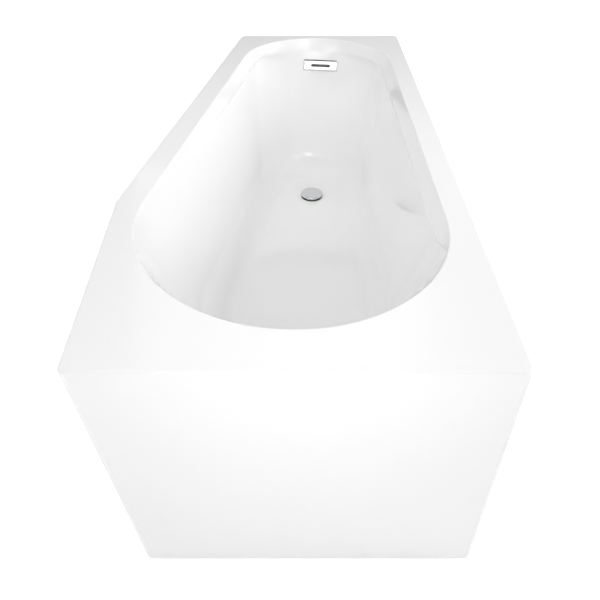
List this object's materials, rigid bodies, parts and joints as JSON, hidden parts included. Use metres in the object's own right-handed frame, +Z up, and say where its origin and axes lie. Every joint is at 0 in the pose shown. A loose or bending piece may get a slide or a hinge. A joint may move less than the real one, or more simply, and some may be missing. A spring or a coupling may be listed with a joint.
{
  "type": "freestanding bathtub",
  "caption": "Freestanding space-saving bathtub: egg-shaped basin in a five-sided body with a flat rim, slotted overflow cover, push drain with trap, and levelling feet.",
  "frame": {"origin": "on the ground, at the middle of the bounding box in plan", "axes": "+Z up, +Y from the wide end to the narrow end, +X towards the straight side"},
  "size_m": [0.75, 1.5, 0.58],
  "materials": {
    "acrylic": "polished sanitary acrylic",
    "chrome_trim": "mirror",
    "brass_works": "satin",
    "board": "raw particle board",
    "rubber_seals": "matt",
    "white_pipe": "satin moulded",
    "dark_plastic": "satin moulded",
    "steel": "zinc plated"
  },
  "bodies": {
    "tub": {"drain_flange": "chrome_trim", "flange_seal": "rubber_seals", "drain_washer": "rubber_seals", "drain_body": "white_pipe", "plug_cartridge": "brass_works", "plug_spring": "steel", "hose_nut_bottom": "dark_plastic", "overflow_gasket": "rubber_seals", "overflow_body": "white_pipe", "overflow_screw_1": "steel", "overflow_screw_2": "steel", "hose_nut_top": "dark_plastic", "frame_rail_left": "steel", "frame_rail_right": "steel", "rail_screw_1": "steel", "rail_screw_2": "steel", "rail_screw_3": "steel", "rail_screw_4": "steel", "overflow_hose": "dark_plastic", "inner_basin": "acrylic", "outer_skirt": "acrylic", "base_board": "board", "crossbar_wide_end": "steel", "crossbar_middle": "steel", "crossbar_narrow_end": "steel", "foot_lock_nut_1": "steel", "foot_lock_nut_2": "steel", "foot_lock_nut_3": "steel", "foot_lock_nut_4": "steel", "foot_lock_nut_5": "steel", "skirt_bracket_1": "steel", "bracket_screw_1": "steel", "skirt_bracket_2": "steel", "bracket_screw_2": "steel", "skirt_bracket_3": "steel", "bracket_screw_3": "steel", "skirt_bracket_4": "steel", "bracket_screw_4": "steel", "trap_body": "white_pipe", "trap_inlet_seal": "rubber_seals", "trap_inlet_nut": "dark_plastic", "outlet_pipe": "white_pipe", "trap_outlet_nut": "dark_plastic", "overflow_plate": "chrome_trim", "overflow_retainer": "steel"},
    "plug": {"plug_cap": "chrome_trim", "plug_seal": "rubber_seals", "plug_stem": "brass_works"},
    "foot_1": {"foot_pad_1": "dark_plastic", "foot_stem_1": "steel"},
    "foot_2": {"foot_pad_2": "dark_plastic", "foot_stem_2": "steel"},
    "foot_3": {"foot_pad_3": "dark_plastic", "foot_stem_3": "steel"},
    "foot_4": {"foot_pad_4": "dark_plastic", "foot_stem_4": "steel"},
    "foot_5": {"foot_pad_5": "dark_plastic", "foot_stem_5": "steel"}
  },
  "joints": [
    {"name": "plug_push", "type": "slide", "parent": "tub", "child": "plug", "axis": [0, 0, -1], "range_m": [0, 0.006], "stiffness_N_per_m": 400, "springref_m": -0.006, "deforming": ["plug_spring"]},
    {"name": "foot_1_height", "type": "slide", "parent": "tub", "child": "foot_1", "axis": [0, 0, -1], "range_m": [0, 0.02]},
    {"name": "foot_2_height", "type": "slide", "parent": "tub", "child": "foot_2", "axis": [0, 0, -1], "range_m": [0, 0.02]},
    {"name": "foot_3_height", "type": "slide", "parent": "tub", "child": "foot_3", "axis": [0, 0, -1], "range_m": [0, 0.02]},
    {"name": "foot_4_height", "type": "slide", "parent": "tub", "child": "foot_4", "axis": [0, 0, -1], "range_m": [0, 0.02]},
    {"name": "foot_5_height", "type": "slide", "parent": "tub", "child": "foot_5", "axis": [0, 0, -1], "range_m": [0, 0.02]}
  ]
}
